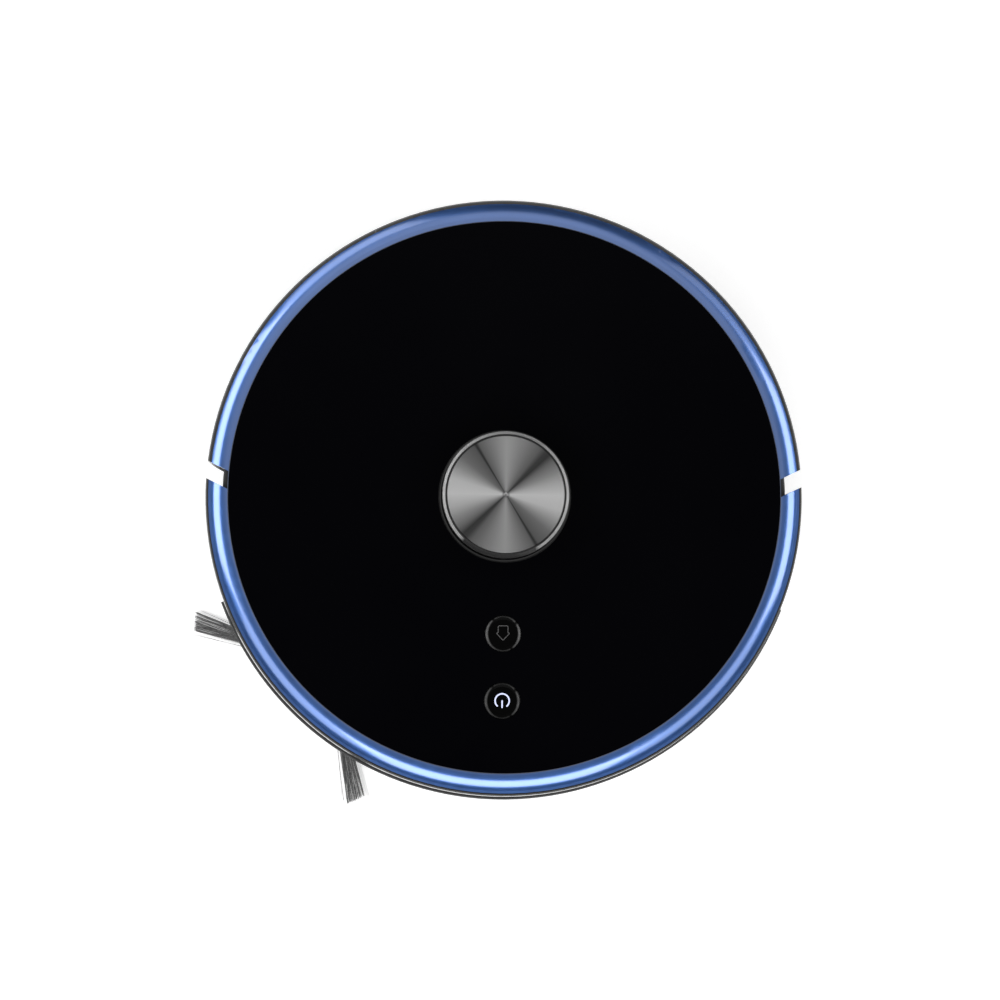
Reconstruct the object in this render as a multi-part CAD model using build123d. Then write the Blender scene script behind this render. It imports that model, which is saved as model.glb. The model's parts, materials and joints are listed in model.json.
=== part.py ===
from build123d import *

import os
from math import acos, cos, pi, radians, sin, sqrt

# Robot vacuum cleaner, modelled as the assembly it is built as.
#
# Units are millimetres. +Z is up and the floor is z = 0. The origin is on the floor under the centre of the
# round body, which is also the axis of the laser turret. The bumper faces -Y, the dustbin slides out to +Y.

# ---- driving dimensions ----------------------------------------------------------------------------------

# Radii of the round body, from the outside in
STRIP_R = 177.4  # rubber strip round the bumper
BUMPER_R = 175.7  # widest line of the bumper
REAR_R = 174.9  # rear wall
TRIM_LIP_R = 172.8  # outer edge of the trim ring's flat lip, on the bumper
TRIM_OUT_R = 171.4  # where the trim ring's curve meets that lip
TRIM_REAR_R = 172.0  # trim ring's outer edge on the rear wall
TRIM_IN_R = 161.2  # inner lip of the trim ring, just under the glass
CORE_R = 164.5  # inner body that the bumper slides over
GLASS_R = 161.5
PLATEAU_R = 157.0  # raised part of the top cover, under the glass

# Heights
BASE_Z = 12.0  # underside of the chassis
BASE_T = 2.6
SEAM_Z = 42.0  # where the chassis and the top cover meet
SHOULDER_Z = 71.0  # step that the trim ring passes over
PLATEAU_Z = 75.0
GLASS_T = 1.4
GLASS_Z = PLATEAU_Z + GLASS_T
TRIM_Z = 74.7  # highest line of the trim ring
TRIM_CURVE = 13.0  # radius of its section
TURRET_Z = 95.0

WALL = 2.4
RUN = 0.05  # radial clearance of a running fit

# The slanted slots between the bumper and the rear wall
SLOT_SLOPE = 0.5
SLOT_X = 162.0
BUMPER_END_Y = 2.2  # at x = SLOT_X
REAR_END_Y = 12.8  # at x = SLOT_X
BUMPER_TRAVEL = 4.0
STRIP_HALF_ANGLE = 69.0  # of the rubber strip, each side of the front
STRIP_Z = (42.0, 49.0)
WINDOW_HALF_ANGLE = 52.0
WINDOW_Z = (53.0, 64.0)

# Turret
DISC_R = 34.0
CAP_R = 36.8
COLLAR_R = 38.6
HEAD_R = 31.5
PULLEY_BELT_R = 33.4  # belt centre line on the scanning head
MOTOR_BELT_R = 6.0  # belt centre line on the motor pulley
BELT_R = 0.8
BELT_Z = 64.0
LIDAR_MOTOR_Y = 58.0

# Buttons
HOME_Y = -80.0
POWER_Y = -119.0
BUTTON_R = 10.4

# Drive wheels
WHEEL_R = 33.0
WHEEL_X = 115.0
WHEEL_W = 16.0
PIVOT_Y = -40.0
PIVOT_Z = 37.0
ARM_X = (95.0, 105.0)
WELL_X = (93.0, 130.0)
WELL_Y = (-45.0, 36.0)
HOUSING_Y = (-56.0, 38.0)
HOUSING_TOP = 68.6

# Castor
CASTOR_Y = -128.0
CASTOR_R = 12.5
CASTOR_TRAIL = 4.0

# Main brush
BRUSH_Y = 48.0
BRUSH_Z = 20.5
BRUSH_R = 19.0
BRUSH_HALF = 78.0
CHAMBER_R = 21.3
CHAMBER_HALF = 84.5

# Side brush
SIDE_X = -102.0
SIDE_Y = -101.0
ARM_ANGLES = (162.0, 282.0, 42.0)
TUFT_R = 83.0

# Battery
BATTERY_X = (22.0, 88.0)
BATTERY_Y = (-127.2, -55.2)
BATTERY_H = 19.5

# Dustbin
BIN_HALF = 74.0
BIN_Y = 81.0
BIN_Z = (20.3, 60.0)
FACE_HALF = 77.2
FACE_Z = (20.0, 66.0)

# Fan
FAN_X = 111.5
FAN_Y = 70.0
FAN_R = 26.0

BOSSES = [(sx * x, y) for sx in (-1, 1) for x, y in ((148, 50), (100, 118), (62, -140), (138, -62))]
CONTACT_X = 44.0
CONTACT_Y = -141.0
CLIFFS = [(-80, -132), (80, -132), (-146, -52), (146, -52)]
SWITCH_ANGLE = 152.0
JACK_ANGLE = 139.0
JACK_R = 2.75
JACK_RADIUS = REAR_R - 8.2  # middle of the charging socket, from the body's centre
ROCKER_TILT = 6.0
ROCKER_RADIUS = 168.9
SIDE_PORT_Z = 48.0
PIN_X = 95.0  # bumper guide pins, which also press the bump switches
PIN_Z = (50.0, 60.0)
PIN_TIP_Y = -130.0
SWITCH_Y = -122.0
VENT_ANGLE = 35.0


# ---- helpers ---------------------------------------------------------------------------------------------

def turned(*outline):
    """Ring or disc made by turning an (r, z) outline about Z."""
    return revolve(make_face(Plane.XZ * Polyline(*outline, close=True)), Axis.Z, 360)


def disc(r, z0, z1, x=0.0, y=0.0, bore=0.0):
    """Upright cylinder from z0 to z1, with an optional bore."""
    body = Pos(x, y, (z0 + z1) / 2) * Cylinder(r, z1 - z0)
    if bore:
        body -= Pos(x, y, (z0 + z1) / 2) * Cylinder(bore, z1 - z0 + 2)
    return body


def rod(r, x0, x1, y, z, bore=0.0):
    """Cylinder along X from x0 to x1, with an optional bore."""
    place = Pos((x0 + x1) / 2, y, z) * Rot(0, 90, 0)
    body = place * Cylinder(r, abs(x1 - x0))
    if bore:
        body -= place * Cylinder(bore, abs(x1 - x0) + 2)
    return body


def block(x, y, z):
    """Box from three (low, high) pairs."""
    size = [b - a for a, b in (x, y, z)]
    middle = [(a + b) / 2 for a, b in (x, y, z)]
    return Pos(*middle) * Box(*size)


def prism(points, z0, z1):
    """Upright prism over a plan outline."""
    face = make_face(Polyline(*points, close=True))
    return Pos(0, 0, z0) * extrude(face, z1 - z0)


def at_angle(shape, angle, radius=0.0, z=0.0):
    """Shape drawn facing +X, carried out to a radius and turned about Z."""
    return Rot(0, 0, angle) * (Pos(radius, 0, z) * shape)


def slot_line(y, x):
    return y + SLOT_SLOPE * (abs(x) - SLOT_X)


def front_part(z0=0.0, z1=100.0):
    """Everything forward of the bumper's slanted ends."""
    far, near = 190.0, 140.0
    outline = [
        (-far, slot_line(BUMPER_END_Y, far)),
        (-near, slot_line(BUMPER_END_Y, near)),
        (near, slot_line(BUMPER_END_Y, near)),
        (far, slot_line(BUMPER_END_Y, far)),
        (far, -far),
        (-far, -far),
    ]
    return prism(outline, z0, z1)


def rear_part(z0=0.0, z1=100.0):
    """Everything behind the rear wall's slanted ends."""
    far, near = 190.0, 140.0
    outline = [
        (-far, slot_line(REAR_END_Y, far)),
        (-near, slot_line(REAR_END_Y, near)),
        (near, slot_line(REAR_END_Y, near)),
        (far, slot_line(REAR_END_Y, far)),
        (far, far),
        (-far, far),
    ]
    return prism(outline, z0, z1)


def wedge(half_angle, middle_angle, z0, z1, reach=230.0):
    """Sector of a circle, narrower than a half turn, about Z."""
    a, b = radians(middle_angle - half_angle), radians(middle_angle + half_angle)
    m = radians(middle_angle)
    corner = reach / max(cos(radians(half_angle)), 0.3)
    outline = [(0, 0), (reach * cos(a), reach * sin(a)), (corner * cos(m), corner * sin(m))]
    outline.append((reach * cos(b), reach * sin(b)))
    return prism(outline, z0, z1)


def mirrored(shape):
    return mirror(shape, Plane.YZ)


# ---- body shells -----------------------------------------------------------------------------------------

def screw_positions():
    bx, by = sum(BATTERY_X) / 2, BATTERY_Y
    return BOSSES + [(bx, by[0] - 5), (bx, by[1] + 5)]


def side_ports(margin=0.0):
    """Openings for the charging socket and the rocker switch, through every wall at the side."""
    depth = 30
    jack = Rot(0, 90, 0) * Cylinder(5.2 + margin, depth)
    rocker = Box(depth, 13.4 + 2 * margin, 8.4 + 2 * margin)
    return [at_angle(jack, JACK_ANGLE, 168, SIDE_PORT_Z), at_angle(rocker, SWITCH_ANGLE, 168, SIDE_PORT_Z)]


def exhaust_window():
    return at_angle(Box(12, 42, 22), VENT_ANGLE, 163, 43)


def bin_mouth(half, z):
    return block((-half, half), (120, 190), z)


def pin_holes():
    """Holes that the bumper's two guide pins slide through."""
    z = (PIN_Z[0] - 0.4, PIN_Z[1] + 0.4)
    return [block((x - 3.4, x + 3.4), (-150, -110), z) for x in (-PIN_X, PIN_X)]


def chassis():
    top = BASE_Z + BASE_T
    body = turned(
        (0, BASE_Z), (155, BASE_Z), (CORE_R, 21), (CORE_R, SEAM_Z),
        (CORE_R - WALL, SEAM_Z), (CORE_R - WALL, 22.5), (154, top), (0, top),
    )
    for x, y in BOSSES:
        body += disc(4.0, top - 0.2, SEAM_Z, x, y)
    for x in (-PIN_X, PIN_X):
        body += block((x - 3.5, x + 3.5), (SWITCH_Y + 1, SWITCH_Y + 7), (top - 0.2, PIN_Z[0] - 0.1))
    for s in (-1, 1):
        well = sorted((s * WELL_X[0], s * WELL_X[1]))
        body -= block(well, WELL_Y, (0, 20))
        slot = sorted((s * (CONTACT_X - 11), s * (CONTACT_X + 11)))
        body -= block(slot, (CONTACT_Y - 4, CONTACT_Y + 4), (0, 20))
    body -= block((-CHAMBER_HALF + 2, CHAMBER_HALF - 2), (BRUSH_Y - 22, BRUSH_Y + 22), (0, 20))
    body -= block((BATTERY_X[0] - 1, BATTERY_X[1] + 1), (BATTERY_Y[0] - 1, BATTERY_Y[1] + 1), (0, 20))
    body -= disc(19.8, 0, 20, 0, CASTOR_Y)
    body -= disc(6.0, 0, 20, SIDE_X, SIDE_Y)
    for x, y in CLIFFS:
        body -= block((x - 8, x + 8), (y - 4, y + 4), (0, 20))
    for x, y in screw_positions():
        body -= disc(3.2, BASE_Z - 1, BASE_Z + 2.0, x, y)
        body -= disc(1.3, BASE_Z - 1, 30, x, y)
    body -= bin_mouth(FACE_HALF + 0.6, (FACE_Z[0] - 0.6, 60))
    for port in [exhaust_window(), *side_ports()]:
        body -= port
    return body


def top_cover():
    """Flat top with its screw bosses, and round it the sectors of the shoulder and side wall."""
    under = PLATEAU_Z - 2.5
    inner = PLATEAU_R - 2.5
    plate = turned(
        (0, PLATEAU_Z), (PLATEAU_R, PLATEAU_Z), (PLATEAU_R, SHOULDER_Z), (inner, SHOULDER_Z), (inner, under),
        (0, under),
    )
    for x, y in BOSSES:
        plate += disc(4.0, SEAM_Z + 0.2, under + 0.2, x, y)
        plate -= disc(1.3, SEAM_Z - 1, SEAM_Z + 14, x, y)
    side = turned(
        (inner, SHOULDER_Z), (CORE_R - 1, SHOULDER_Z), (CORE_R, SHOULDER_Z - 1), (CORE_R, SEAM_Z + 0.2),
        (CORE_R - WALL, SEAM_Z + 0.2), (CORE_R - WALL, SHOULDER_Z - 2.5), (inner, SHOULDER_Z - 2.5),
    )
    side -= plate
    for port in [bin_mouth(FACE_HALF + 0.6, (SEAM_Z - 5, FACE_Z[1] + 0.6)), exhaust_window()]:
        side -= port
    for port in [*side_ports(), *pin_holes()]:
        side -= port
    plate -= disc(COLLAR_R + 0.2, 60, 80)
    for y in (HOME_Y, POWER_Y):
        plate -= disc(BUTTON_R + 0.4, 60, 80, 0, y)
        for x in (-11.5, 11.5):
            plate += disc(2.4, 65.8, under + 0.2, x, y + 19.5)
    for x in (-70, 70):
        for y in (-108, -64):
            plate += disc(2.6, 51.7, under + 0.2, x, y)
    seam = FACE_HALF + 0.6
    bridge = side & block((-seam, seam), (0, 200), (30, 80))
    side -= block((-seam - 0.1, seam + 0.1), (0, 200), (30, 80))
    sectors = []
    for middle, half_angle in ((32.5, 32.5), (147.5, 32.5), (210, 30), (270, 30), (330, 30)):
        sectors.append(side & wedge(half_angle - 0.02, middle, 30, 80))
    return [plate, bridge, *sectors]


def glass_panel():
    body = disc(GLASS_R, PLATEAU_Z, GLASS_Z)
    body = chamfer(body.edges().group_by(Axis.Z)[-1], 0.5)
    body -= disc(COLLAR_R + 0.2, 70, 80)
    for y in (HOME_Y, POWER_Y):
        body -= disc(BUTTON_R + 0.4, 70, 80, 0, y)
    return body


def trim_ring(flat_to, curve_to, edge):
    """Ring that is level up to flat_to, then curves down to curve_to and ends in its edge points."""
    floor = SHOULDER_Z + 0.35
    middle = (flat_to + curve_to) / 2
    arc = [(r, trim_height(r - flat_to)) for r in (flat_to, middle, curve_to)]
    top = Polyline((TRIM_IN_R, TRIM_Z), arc[0]) + ThreePointArc(*arc)
    rest = Polyline(arc[2], *edge, (TRIM_IN_R, floor), (TRIM_IN_R, TRIM_Z))
    return revolve(make_face(Plane.XZ * (top + rest)), Axis.Z, 360)


def trim_height(beyond):
    """Height of the trim ring's curve at a distance beyond its level part."""
    return TRIM_Z - TRIM_CURVE + sqrt(TRIM_CURVE**2 - beyond**2)


def bumper_trim():
    floor = SHOULDER_Z + 0.35
    edge = [(TRIM_LIP_R, 70.9), (TRIM_LIP_R, 69.8), (169.6, 69.8), (169.6, floor)]
    return trim_ring(162.4, TRIM_OUT_R, edge) & front_part()


def rear_trim():
    floor = SHOULDER_Z + 0.35
    return trim_ring(163.8, TRIM_REAR_R, [(TRIM_REAR_R, floor)]) & rear_part()


def bumper_shell():
    inside = BUMPER_R - 2.6
    body = turned(
        (169.6, 69.75), (172.85, 69.75), (172.85, 70.45), (173.6, 70.45), (174.4, 69.6), (175.1, 63),
        (BUMPER_R, 54), (BUMPER_R, 34), (175.1, 26), (173.3, 19.5), (170.4, 16.0),
        (168.8, 16.0), (171.4, 20.5), (inside, 28), (inside, 68.0), (169.6, 68.0),
    )
    recess = disc(180, *WINDOW_Z, bore=BUMPER_R - 1.2)
    body -= recess & wedge(WINDOW_HALF_ANGLE, -90, 0, 100)
    body &= front_part()
    for s in (-1, 1):
        pin = block((s * PIN_X - 3, s * PIN_X + 3), (-150, PIN_TIP_Y), PIN_Z)
        body += pin & disc(inside + 0.5, 0, 100)
    return body


def bumper_window():
    ring = turned(
        (BUMPER_R - 1.15, WINDOW_Z[0] + 0.05), (BUMPER_R - 0.1, WINDOW_Z[0] + 0.05),
        (BUMPER_R - 0.75, WINDOW_Z[1] - 0.05), (BUMPER_R - 1.15, WINDOW_Z[1] - 0.05),
    )
    return ring & wedge(WINDOW_HALF_ANGLE - 0.05, -90, 0, 100)


def bumper_strip():
    z0, z1 = STRIP_Z
    ring = turned(
        (BUMPER_R, z0), (STRIP_R - 0.8, z0), (STRIP_R, z0 + 1.6), (STRIP_R, z1 - 1.6), (STRIP_R - 0.8, z1),
        (BUMPER_R, z1),
    )
    return ring & wedge(STRIP_HALF_ANGLE, -90, 0, 100)


def rear_shell():
    """Outer wall of the rear half: two side walls, a bridge over the dustbin and a sill under it."""
    inside = REAR_R - WALL
    body = turned(
        (CORE_R + 0.05, SHOULDER_Z), (172.2, SHOULDER_Z), (173.6, 70.8), (174.4, 69.8), (REAR_R, 62),
        (REAR_R, 30), (174.1, 24), (172.3, 18.5), (169.4, 16.0), (167.8, 16.0), (170.4, 20.5), (inside, 28),
        (inside, 68.6), (CORE_R + 0.05, 68.6),
    )
    body &= rear_part()
    body -= bin_mouth(FACE_HALF + 0.4, (FACE_Z[0] - 0.4, FACE_Z[1] + 0.4))
    for port in side_ports():
        body -= port
    for k in range(9):
        vent = Box(12, 3.0, 26)
        body -= at_angle(vent, 22 + 3.2 * k, REAR_R, 44)
    for s in (-1, 1):
        ear = Pos(0, 0, s * 5.4) * Box(6.6, 8, 2.2)
        body += at_angle(ear, SWITCH_ANGLE, inside - 3.2, SIDE_PORT_Z)
    body -= at_angle(Cylinder(1.5 + RUN, 14), SWITCH_ANGLE, ROCKER_RADIUS, SIDE_PORT_Z)
    for z in (32.0, 56.0):
        for s in (-1, 1):
            web = block((CORE_R + 0.05, inside + 0.3), (-1.5, 1.5), (z - 1.5, z + 1.5))
            body += at_angle(web, 90 + s * 66)
    seam = FACE_HALF + 0.4
    everywhere = (-200, 200)
    right = body & block((seam + 0.05, 200), everywhere, everywhere)
    left = body & block((-200, -seam - 0.05), everywhere, everywhere)
    middle = body & block((-seam + 0.05, seam - 0.05), everywhere, everywhere)
    return [right, left, middle]


# ---- turret ----------------------------------------------------------------------------------------------

def turret_collar():
    """Skirt round the turret, standing a little above the glass."""
    inner = CAP_R + 0.5
    return turned(
        (inner, 69), (COLLAR_R + 2.2, 69), (COLLAR_R + 2.2, 72.2), (COLLAR_R, 72.2),
        (COLLAR_R, GLASS_Z + 1.0),
        (COLLAR_R - 0.5, GLASS_Z + 1.6), (inner, GLASS_Z + 1.6),
    )


def turret_cap():
    """Cap on four thin posts. It gives way when something presses on it."""
    rim = 2.0
    body = turned(
        (0, 89), (CAP_R, 89), (CAP_R, TURRET_Z - rim), (DISC_R + 0.9, TURRET_Z), (DISC_R + 0.3, TURRET_Z),
        (DISC_R + 0.3, TURRET_Z - 1.2), (0, TURRET_Z - 1.2),
    )
    body += turned((CAP_R - 3.2, 68.6), (CAP_R, 68.6), (CAP_R, 71.0), (CAP_R - 3.2, 71.0))
    for k in range(4):
        post = block((CAP_R - 1.9, CAP_R - 0.15), (-1.6, 1.6), (69.5, 90))
        body += at_angle(post, 90 * k)
    return body


def turret_disc():
    """Turned metal inlay with a small centre dimple."""
    low = TURRET_Z - 1.2
    body = disc(DISC_R, low, TURRET_Z)
    body = chamfer(body.edges().group_by(Axis.Z)[-1], 0.25)
    return body - turned((0, TURRET_Z - 0.5), (1.4, TURRET_Z + 0.1), (0, TURRET_Z + 0.1))


def lidar_base():
    lobe = Pos(0, LIDAR_MOTOR_Y / 2, 58.5) * Box(26, LIDAR_MOTOR_Y, 3)
    body = disc(44, 57, 60) + lobe + disc(13, 57, 60, 0, LIDAR_MOTOR_Y)
    body += disc(8.0, 59.5, 70)
    body += turned((41.5, 59.5), (44, 59.5), (44, 66), (41.5, 66)) - block((-22, 22), (20, 60), (59, 70))
    body -= disc(4.0, 50, 65, 0, LIDAR_MOTOR_Y)
    for angle in (0, 180, 270):
        lug = block((-4.5, 3.5), (-3.5, 3.5), (57, PLATEAU_Z - 2.6))
        body += at_angle(lug, angle, 46.5)
    return body


def lidar_head():
    """Scanning head that turns on the base's post, with a belt groove round its foot."""
    groove = PULLEY_BELT_R - BELT_R - 0.1
    body = turned(
        (8.0 + RUN, 61.0), (PULLEY_BELT_R + 0.6, 61.0), (PULLEY_BELT_R + 0.6, 62.4), (groove, 63.0),
        (groove, 65.0),
        (PULLEY_BELT_R + 0.6, 65.6), (PULLEY_BELT_R + 0.6, 67.0), (HEAD_R, 67.0), (HEAD_R, 85.0),
        (HEAD_R - 2, 86.5), (0, 86.5), (0, 70.4), (8.0 + RUN, 70.4),
    )
    for x in (-12.0, 12.0):
        body -= Pos(x, -HEAD_R + 3, 79) * Rot(90, 0, 0) * Cylinder(7.0, 14)
    return body


def lidar_lenses():
    """Laser window and receiver lens in the scanning head."""
    lenses = []
    for x in (-12.0, 12.0):
        barrel = Pos(x, -23.6, 79) * Rot(90, 0, 0) * Cylinder(6.9, 4)
        edge = Pos(x, -26.5, 79) * Rot(90, 0, 0) * Cylinder(6.0, 4.0)
        dome = Pos(x, -17.4, 79) * Sphere(10.2) & edge
        lenses.append(barrel + dome)
    return lenses


def lidar_motor():
    body = disc(10.5, 46, 57, 0, LIDAR_MOTOR_Y)
    return body + disc(1.5, 56, 66, 0, LIDAR_MOTOR_Y)


def lidar_pulley():
    groove = MOTOR_BELT_R - BELT_R - 0.1
    ring = turned(
        (1.5 + RUN, 61.0), (MOTOR_BELT_R + 0.8, 61.0), (MOTOR_BELT_R + 0.8, 62.2), (groove, 63.0),
        (groove, 65.0),
        (MOTOR_BELT_R + 0.8, 65.8), (MOTOR_BELT_R + 0.8, 67.0), (1.5 + RUN, 67.0),
    )
    return Pos(0, LIDAR_MOTOR_Y, 0) * ring


def lidar_belt():
    """Round belt over the head's groove and the motor pulley: two arcs joined by their common tangents."""
    lean = acos((PULLEY_BELT_R - MOTOR_BELT_R) / LIDAR_MOTOR_Y)
    big = [(s * PULLEY_BELT_R * sin(lean), PULLEY_BELT_R * cos(lean)) for s in (-1, 1)]
    small = [(s * MOTOR_BELT_R * sin(lean), LIDAR_MOTOR_Y + MOTOR_BELT_R * cos(lean)) for s in (-1, 1)]
    loop = [
        ThreePointArc(big[0], (0, -PULLEY_BELT_R), big[1]),
        Line(big[1], small[1]),
        ThreePointArc(small[1], (0, LIDAR_MOTOR_Y + MOTOR_BELT_R), small[0]),
        Line(small[0], big[0]),
    ]
    path = Wire([edge for part in loop for edge in (Pos(0, 0, BELT_Z) * part).edges()])
    along = Vector(small[1][0] - big[1][0], small[1][1] - big[1][1], 0)
    section = Plane(origin=(*big[1], BELT_Z), z_dir=along) * Circle(BELT_R)
    return sweep(section, path=path)


# ---- buttons ---------------------------------------------------------------------------------------------

def button(y):
    top = GLASS_Z - 0.3
    cap = turned(
        (0, 71.0), (BUTTON_R + 1.4, 71.0), (BUTTON_R + 1.4, 72.1), (BUTTON_R, 72.1), (BUTTON_R, top - 0.6),
        (BUTTON_R - 0.5, top), (BUTTON_R - 2.2, top - 0.5), (0, top - 0.5),
    )
    return Pos(0, y, 0) * cap


def button_board():
    board = block((-15, 15), (-137, -58), (64.0, 65.6))
    board = fillet(board.edges().filter_by(Axis.Z), 3)
    parts = [board]
    for y in (HOME_Y, POWER_Y):
        switch = block((-3, 3), (y - 3, y + 3), (65.65, 69.0)) + disc(1.6, 68.8, 69.9, 0, y)
        parts.append(switch)
    return parts


# ---- drive wheels ----------------------------------------------------------------------------------------

def wheel_housing():
    """Hood over the wheel well, on the +X side."""
    x0, x1 = WELL_X[0] - 2, WELL_X[1] + 1
    body = block((x0, x1), HOUSING_Y, (BASE_Z + BASE_T, HOUSING_TOP))
    body -= block((x0 + 2, x1 - 2), (HOUSING_Y[0] + 2, HOUSING_Y[1] - 2), (BASE_Z, HOUSING_TOP - 1.6))
    outer = [e for e in body.edges().filter_by(Axis.X) if e.center().Z > HOUSING_TOP - 0.1]
    body = fillet(outer, 8)
    body -= rod(13.0 + RUN, x0 - 1, x0 + 3, PIVOT_Y, PIVOT_Z)
    body -= rod(3.0 + RUN, x1 - 3, x1 + 1, PIVOT_Y, PIVOT_Z)
    return body


def drive_arm():
    """Gearbox casing that swings on its pivot and carries the wheel axle."""
    x0, x1 = ARM_X
    pivot_end = rod(13.5, x0, x1, PIVOT_Y, PIVOT_Z)
    axle_end = rod(13.0, x0, x1, 0, WHEEL_R)
    web = prism([(PIVOT_Y, 23.5), (0, 20.0), (0, 46.0), (PIVOT_Y, 50.5)], x0, x1)
    web = Plane.YZ * web
    body = pivot_end + axle_end + web
    body += rod(13.0, WELL_X[0] - 3.5, x0 + 1, PIVOT_Y, PIVOT_Z)
    body += rod(3.0, x1 - 1, WELL_X[1] + 0.5, PIVOT_Y, PIVOT_Z)
    body += rod(3.0, x1 - 1, WHEEL_X + WHEEL_W / 2 + 1.5, 0, WHEEL_R)
    body += rod(6.0, x1 - 1, WHEEL_X - WHEEL_W / 2 - 0.5, 0, WHEEL_R)
    return body


def drive_motor():
    x1 = WELL_X[0] - 3.6
    body = rod(11.5, 64, x1, PIVOT_Y, PIVOT_Z)
    body += rod(4.5, 61.5, 65, PIVOT_Y, PIVOT_Z)
    return body


def wheel_hub():
    x0, x1 = WHEEL_X - WHEEL_W / 2, WHEEL_X + WHEEL_W / 2
    body = rod(27.0, x0, x1, 0, WHEEL_R, bore=3.0 + RUN)
    dish = rod(24.0, x1 - 5, x1 + 1, 0, WHEEL_R) - rod(9.0, x1 - 6, x1 + 2, 0, WHEEL_R)
    body -= dish
    body -= rod(24.0, x0 - 1, x0 + 4, 0, WHEEL_R) - rod(9.0, x0 - 2, x0 + 5, 0, WHEEL_R)
    for k in range(6):
        spoke = Pos(x1 - 3.2, 0, 0) * Box(3.6, 4.0, 17.0)
        spoke = Pos(0, 0, WHEEL_R) * Rot(60 * k, 0, 0) * Pos(0, 0, 16.3) * spoke
        body += spoke
    return body


def tyre():
    x0, x1 = WHEEL_X - WHEEL_W / 2, WHEEL_X + WHEEL_W / 2
    body = rod(WHEEL_R, x0, x1, 0, WHEEL_R, bore=27.0)
    rims = [e for e in body.edges() if abs(e.length - 2 * pi * WHEEL_R) < 1]
    body = chamfer(rims, 1.2)
    lugs = 28
    for k in range(lugs):
        for s in (-1, 1):
            cut = Pos(WHEEL_X + s * 5.0, 0, 0) * Rot(0, 0, 18 * s) * Box(8.4, 2.6, 3.6)
            angle = 360 * (k + (0.25 if s > 0 else -0.25)) / lugs
            body -= Pos(0, 0, WHEEL_R) * Rot(angle, 0, 0) * Pos(0, 0, WHEEL_R) * cut
    return body


def suspension_spring():
    """Torsion spring round the arm's pivot, inboard of the housing."""
    coil_r, wire_r, pitch, turns = 14.2, 0.7, 1.7, 4
    path = Helix(pitch, pitch * turns, coil_r)
    start = path.edges()[0]
    section = Plane(origin=start @ 0, z_dir=start % 0) * Circle(wire_r)
    coil = sweep(section, path=path, is_frenet=True)
    return Pos(81.5, PIVOT_Y, PIVOT_Z) * Rot(0, 90, 0) * coil


# ---- castor ----------------------------------------------------------------------------------------------

def castor_socket():
    cup = turned(
        (17.8, BASE_Z - 0.4), (19.4, BASE_Z - 0.4), (19.4, 39), (4.0 + RUN, 39), (4.0 + RUN, 27.5),
        (17.8, 27.5),
    )
    return Pos(0, CASTOR_Y, 0) * cup


def castor_fork():
    body = disc(4.0, 26.1, 38, 0, CASTOR_Y) + disc(13.5, 26.0, 27.2, 0, CASTOR_Y)
    for x in ((-10.0, -7.6), (7.6, 10.0)):
        ear = block(x, (CASTOR_Y - 5, CASTOR_Y + 9.5), (11.6, 26.4))
        upper = block(x, (CASTOR_Y - 5, CASTOR_Y + 9.5), (CASTOR_R, 26.4))
        body += ear & (rod(7.0, *x, CASTOR_Y + CASTOR_TRAIL, CASTOR_R) + upper)
    body += rod(1.5, -10, 10, CASTOR_Y + CASTOR_TRAIL, CASTOR_R)
    return body


def castor_wheel():
    body = rod(CASTOR_R, -7, 7, CASTOR_Y + CASTOR_TRAIL, CASTOR_R)
    rims = [e for e in body.edges() if abs(e.length - 2 * pi * CASTOR_R) < 1]
    body = fillet(rims, 3.0)
    return body - rod(1.5 + RUN, -9, 9, CASTOR_Y + CASTOR_TRAIL, CASTOR_R)


# ---- brushes ---------------------------------------------------------------------------------------------

def brush_housing():
    """Tunnel over the main brush, with a duct back to the dustbin."""
    top = BASE_Z + BASE_T
    outer = rod(CHAMBER_R + 2.2, -CHAMBER_HALF, CHAMBER_HALF, BRUSH_Y, BRUSH_Z)
    outer += block((-CHAMBER_HALF, CHAMBER_HALF), (BRUSH_Y - 23.5, BRUSH_Y + 23.5), (top, BRUSH_Z))
    inner = rod(CHAMBER_R, -CHAMBER_HALF + 2, CHAMBER_HALF - 2, BRUSH_Y, BRUSH_Z)
    mouth = (BRUSH_Y - CHAMBER_R, BRUSH_Y + CHAMBER_R)
    inner += block((-CHAMBER_HALF + 2, CHAMBER_HALF - 2), mouth, (0, BRUSH_Z))
    duct = block((-50, 50), (BRUSH_Y + 16, BIN_Y - 0.6), (26, 45))
    bore = block((-48, 48), (BRUSH_Y, BIN_Y + 2), (28, 43))
    body = (outer + duct) - inner - bore
    body &= block((-200, 200), (-200, 200), (top, 100))
    for s in (-1, 1):
        body -= rod(4.0 + RUN, s * (CHAMBER_HALF - 4), s * (CHAMBER_HALF + 2), BRUSH_Y, BRUSH_Z)
    return body


def main_brush_core():
    body = rod(8.5, -BRUSH_HALF - 1.5, BRUSH_HALF + 1.5, BRUSH_Y, BRUSH_Z)
    body += rod(4.0, -CHAMBER_HALF - 0.4, CHAMBER_HALF - 0.3, BRUSH_Y, BRUSH_Z)
    for s in (-1, 1):
        body += rod(13.0, s * (BRUSH_HALF + 0.3), s * (BRUSH_HALF + 1.8), BRUSH_Y, BRUSH_Z)
    return body


def main_brush_bristles():
    return rod(BRUSH_R, -BRUSH_HALF, BRUSH_HALF, BRUSH_Y, BRUSH_Z, bore=8.6)


def brush_motor():
    """Gearcase at the brush's driven end, and the motor beside it."""
    case = block((-101, -CHAMBER_HALF - 0.6), (39, 82), (BASE_Z + BASE_T + 0.2, 43))
    case = fillet(case.edges().filter_by(Axis.X), 6)
    can = rod(11.5, -130, -100.5, 68, 29)
    return case + can + rod(4.5, -132.5, -129.5, 68, 29)


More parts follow.
